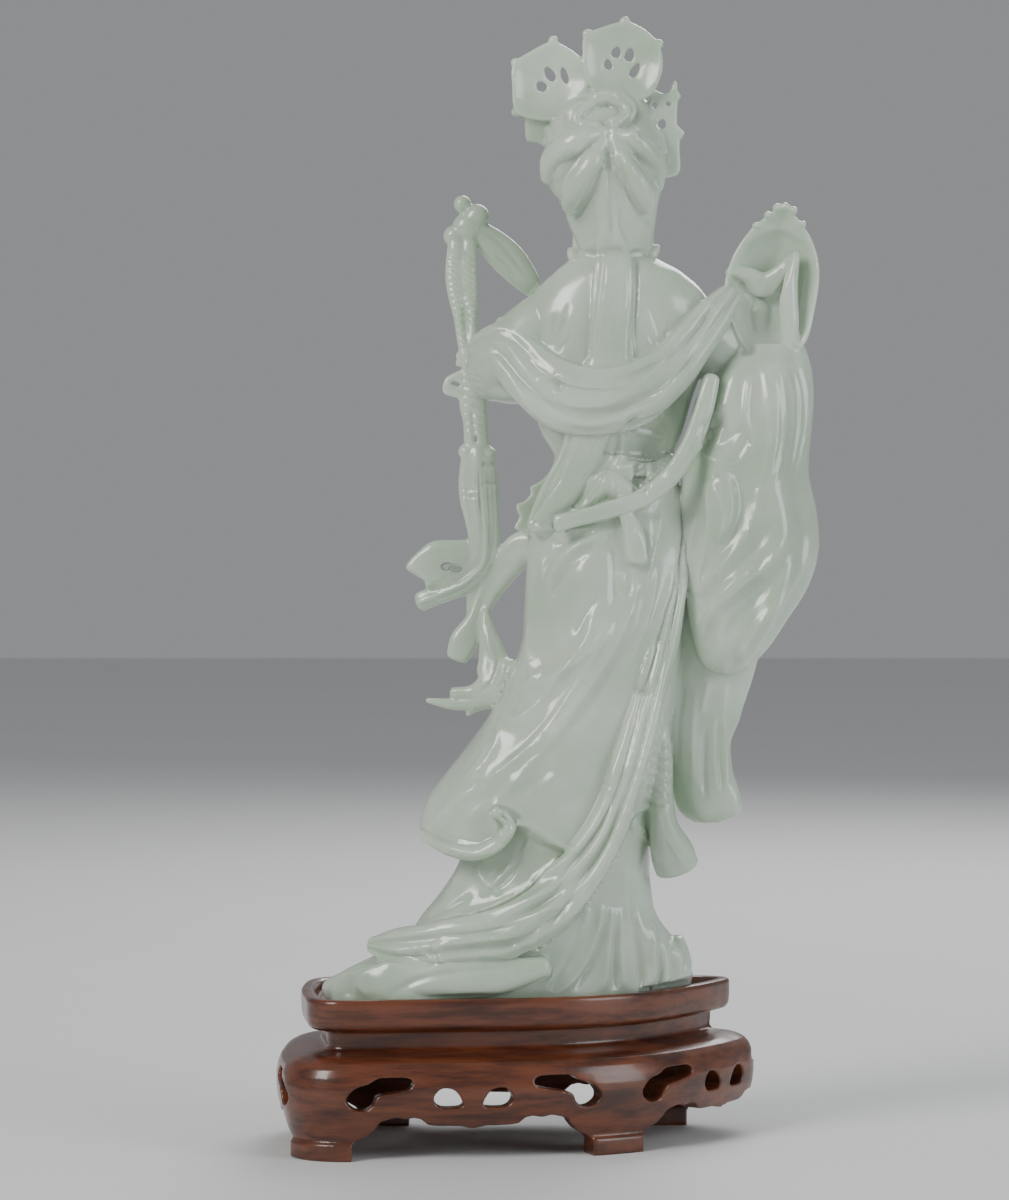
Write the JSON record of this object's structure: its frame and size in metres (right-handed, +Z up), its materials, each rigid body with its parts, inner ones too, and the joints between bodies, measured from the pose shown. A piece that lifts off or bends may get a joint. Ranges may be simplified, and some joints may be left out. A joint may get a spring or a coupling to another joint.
{
  "type": "jade maiden figure on a hardwood stand",
  "caption": "Standing robed maiden carved in pale green jade, holding a sceptre with tasselled cords and a cupped leaf, on a footed hardwood stand with wire inlay.",
  "frame": {"origin": "centre of the stand's footprint box, on the surface that its feet stand on", "axes": "+Z up along the figure; the figure faces -Y, so its carved back is at +Y; +X towards the figure's left hand"},
  "size_m": [0.1518, 0.0786, 0.3149],
  "materials": {
    "jade": "polished translucent pale green nephrite",
    "hardwood": "dark reddish brown, oiled and waxed, dusty in the recesses",
    "wire": "thin dulled silver-gold wire hammered flush into the wood"
  },
  "bodies": {
    "root": {"jade_maiden": "jade", "wooden_stand": "hardwood"}
  },
  "joints": []
}
